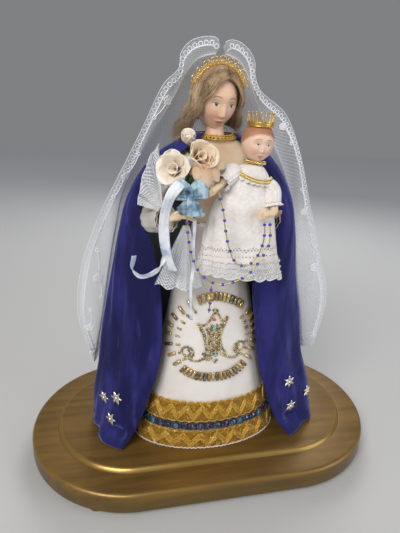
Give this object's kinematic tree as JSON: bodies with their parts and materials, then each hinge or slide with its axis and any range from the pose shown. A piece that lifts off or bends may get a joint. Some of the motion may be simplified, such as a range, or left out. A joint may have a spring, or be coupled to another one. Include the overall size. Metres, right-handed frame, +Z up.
{
  "type": "dressed mother and child figure on oval base",
  "caption": "Dressed mother holding a child: satin gown with gold braid, blue velvet mantle, net veil, silk flowers and a rosary, on a gilded oval wooden base.",
  "frame": {"origin": "centre of the bounding box in X and Y, at the undersides of the four feet", "axes": "+Z up; the figure looks along -Y; +X is to the figure's left, on the viewer's right"},
  "size_m": [0.3022, 0.176, 0.3317],
  "materials": {
    "gilded_wood": "brushed antique gold paint, worn at the edges",
    "white_satin": "smooth ivory satin",
    "blue_velvet": "soft pile, deep blue",
    "white_net": "fine open net",
    "white_lace": "lace over satin",
    "gold_braid": "metallic braid",
    "blue_satin": "shiny ribbon",
    "white_ribbon": "shiny ribbon",
    "silk_petal": "stiffened silk",
    "silk_leaf": "stiffened silk",
    "blond_hair": "fine rooted fibre",
    "pale_vinyl": "satin vinyl",
    "painted_moulding": "hand painted",
    "glass_beads": "faceted, peacock blue",
    "rosary_beads": "round, blue violet",
    "gilt_metal": "polished, gold coloured"
  },
  "bodies": {
    "root": {"gown": "white_satin", "mantle": "blue_velvet", "veil": "white_net", "child_dress": "white_lace", "tulle_fan_upper": "white_net", "tulle_fan_lower": "white_net", "ribbon_bow": "blue_satin", "ribbon_tail_wide": "white_ribbon", "ribbon_tail_curl": "white_ribbon", "ribbon_tail_thin": "white_ribbon", "hem_braid_lower": "gold_braid", "hem_braid_upper": "gold_braid", "neck_braid": "gold_braid", "child_collar_braid": "gold_braid", "child_neck_braid": "gold_braid", "rose_centre": "silk_petal", "rose_left": "silk_petal", "rose_right": "silk_petal", "rose_bud": "silk_petal", "bouquet_leaves": "silk_leaf", "mother_hair": "blond_hair", "mother_head": "pale_vinyl", "right_hand": "pale_vinyl", "left_hand": "pale_vinyl", "child_head": "painted_moulding", "child_right_arm": "painted_moulding", "child_left_arm": "painted_moulding", "tiara": "gilt_metal", "child_crown": "gilt_metal", "hem_bead_band": "glass_beads", "rosary_inner_strand": "rosary_beads", "rosary_outer_strand": "rosary_beads", "rosary_drop": "rosary_beads", "base": "gilded_wood", "foot_front_left": "gilded_wood", "foot_front_right": "gilded_wood", "foot_back_left": "gilded_wood", "foot_back_right": "gilded_wood", "star_left_1": "gilt_metal", "star_left_2": "gilt_metal", "star_left_3": "gilt_metal", "star_right_1": "gilt_metal", "star_right_2": "gilt_metal", "star_right_3": "gilt_metal"}
  },
  "joints": []
}
